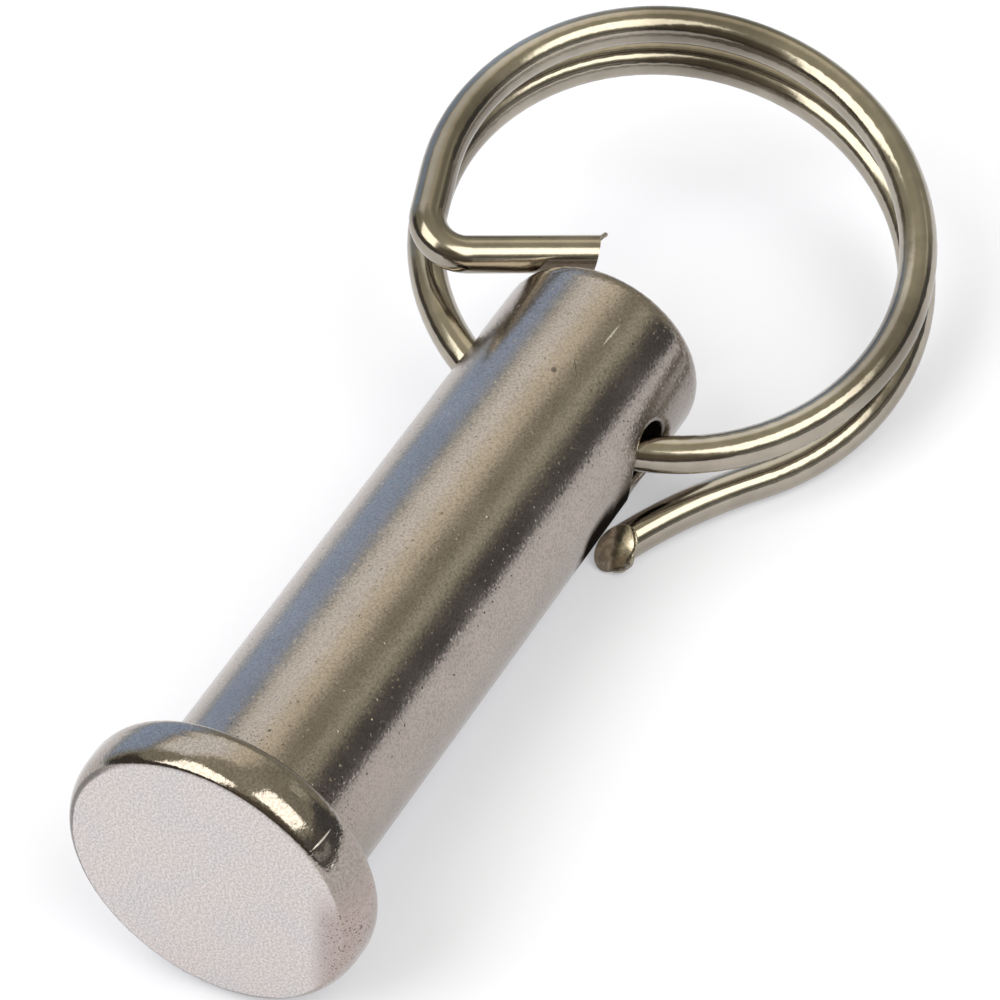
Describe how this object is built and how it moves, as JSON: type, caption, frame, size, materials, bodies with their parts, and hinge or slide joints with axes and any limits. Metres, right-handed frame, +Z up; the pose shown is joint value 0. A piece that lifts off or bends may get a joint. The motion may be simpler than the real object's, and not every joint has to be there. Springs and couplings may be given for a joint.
{
  "type": "clevis pin",
  "caption": "Stainless clevis pin: a plain round shank with a flat round head, and a split ring of round wire swinging in the cross hole near its tip.",
  "frame": {"origin": "centre of the bounding box in plan, on the surface that the pin lies on", "axes": "+Z up; +X along the pin from its head to its tip, seen from above; the ring lies beyond the tip"},
  "size_m": [0.0448, 0.0196, 0.0115],
  "materials": {
    "pin_steel": "tumbled stainless steel, satin",
    "ring_wire": "drawn stainless spring wire, bright"
  },
  "bodies": {
    "pin": {"clevis_pin": "pin_steel"},
    "ring": {"split_ring": "ring_wire"}
  },
  "joints": [
    {"name": "ring_swing", "type": "hinge", "parent": "pin", "child": "ring", "pos_m": [0.00368, 0.00064, 0.00421], "axis": [-0.0128, -0.979, -0.2034], "range_deg": [0, 76]}
  ]
}
